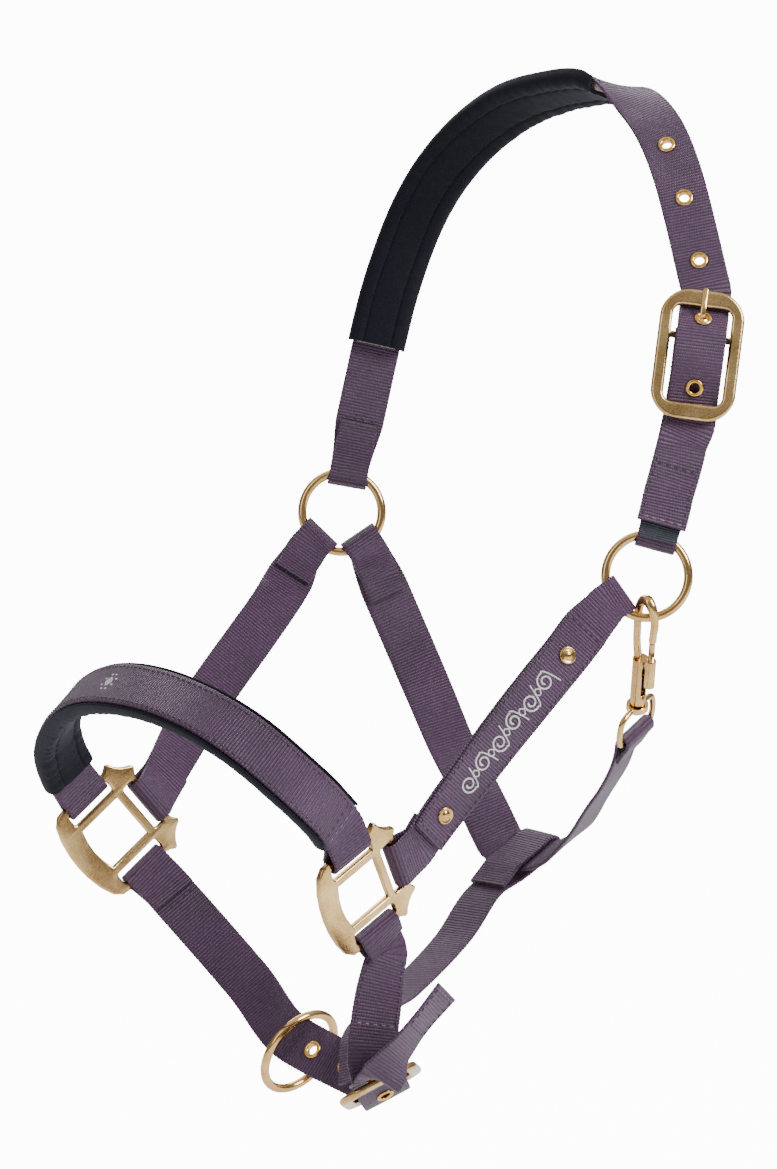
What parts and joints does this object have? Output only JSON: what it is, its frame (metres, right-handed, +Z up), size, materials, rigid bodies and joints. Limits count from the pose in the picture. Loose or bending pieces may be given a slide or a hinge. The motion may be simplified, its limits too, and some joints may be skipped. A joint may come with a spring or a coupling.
{
  "type": "headcollar",
  "caption": "Webbing headcollar with padded poll and noseband, snap-hook throat strap, cast squares, tie rings and two buckles.",
  "frame": {"origin": "the poll, on the inner face of the crown pad", "axes": "+X to the horse's near (left) side, +Y towards the withers, +Z up; -Y is towards the nose"},
  "size_m": [0.2716, 0.3477, 0.5018],
  "materials": {
    "webbing": "ribbed satin",
    "neoprene": "matt",
    "foam": "matt",
    "facing": "matt",
    "gold_metal": "polished",
    "eyelet_brass": "polished",
    "spring_steel": "drawn"
  },
  "bodies": {
    "straps": {"buckle_strap": "webbing", "buckle_strap_facing": "facing", "chin_buckle_frame": "gold_metal", "chin_buckle_strap": "webbing", "chin_connector_strap": "webbing", "chin_eyelet_1": "eyelet_brass", "chin_eyelet_2": "eyelet_brass", "chin_eyelet_3": "eyelet_brass", "chin_eyelet_4": "eyelet_brass", "chin_eyelet_5": "eyelet_brass", "chin_eyelet_6": "eyelet_brass", "chin_strap": "webbing", "crown_buckle_frame": "gold_metal", "crown_eyelet_1": "eyelet_brass", "crown_eyelet_2": "eyelet_brass", "crown_eyelet_3": "eyelet_brass", "crown_eyelet_4": "eyelet_brass", "crown_eyelet_5": "eyelet_brass", "crown_pad_core": "foam", "crown_pad_lining": "neoprene", "crown_strap": "webbing", "near_cheek_overlay": "webbing", "near_cheek_rivet_lower": "gold_metal", "near_cheek_rivet_upper": "gold_metal", "near_cheek_strap": "webbing", "near_square": "gold_metal", "noseband_core": "foam", "noseband_lining": "neoprene", "noseband_overlay": "webbing", "noseband_strap": "webbing", "off_cheek_strap": "webbing", "off_square": "gold_metal", "snap_eye": "gold_metal", "throat_strap": "webbing"},
    "near_ring": {"near_ring": "gold_metal"},
    "off_ring": {"off_ring": "gold_metal"},
    "lead_ring": {"lead_ring": "gold_metal"},
    "crown_tongue": {"crown_buckle_tongue": "gold_metal"},
    "chin_tongue": {"chin_buckle_tongue": "gold_metal"},
    "snap_hook": {"snap_body": "gold_metal", "snap_spring": "spring_steel"},
    "snap_slide": {"snap_bolt": "gold_metal"}
  },
  "joints": [
    {"name": "near_ring_swing", "type": "hinge", "parent": "straps", "child": "near_ring", "pos_m": [0.118, -0.073, -0.22], "axis": [0.753, -0.6318, 0.184], "continuous": true},
    {"name": "off_ring_swing", "type": "hinge", "parent": "straps", "child": "off_ring", "pos_m": [-0.118, -0.073, -0.22], "axis": [0.753, -0.6318, 0.184], "continuous": true},
    {"name": "lead_ring_swing", "type": "hinge", "parent": "straps", "child": "lead_ring", "pos_m": [-0.0005, -0.1985, -0.464], "axis": [0.9195, 0.05, -0.3898], "continuous": true},
    {"name": "crown_tongue_hinge", "type": "hinge", "parent": "straps", "child": "crown_tongue", "pos_m": [0.11397, -0.03521, -0.10508], "axis": [0.6701, 0.7323, -0.121], "range_deg": [-1, 4]},
    {"name": "chin_tongue_hinge", "type": "hinge", "parent": "straps", "child": "chin_tongue", "pos_m": [0.08228, -0.21405, -0.46361], "axis": [-0.5037, -0.7298, -0.4623], "range_deg": [-1, 4]},
    {"name": "snap_swivel", "type": "hinge", "parent": "straps", "child": "snap_hook", "pos_m": [0.09883, -0.06162, -0.2881], "axis": [-0.3649, 0.2539, -0.8958], "range_deg": [0, 20]},
    {"name": "snap_bolt_slide", "type": "slide", "parent": "snap_hook", "child": "snap_slide", "axis": [-0.3649, 0.2539, -0.8958], "range_m": [0, 0.0085], "stiffness_N_per_m": 250, "deforming": ["snap_spring"]}
  ]
}
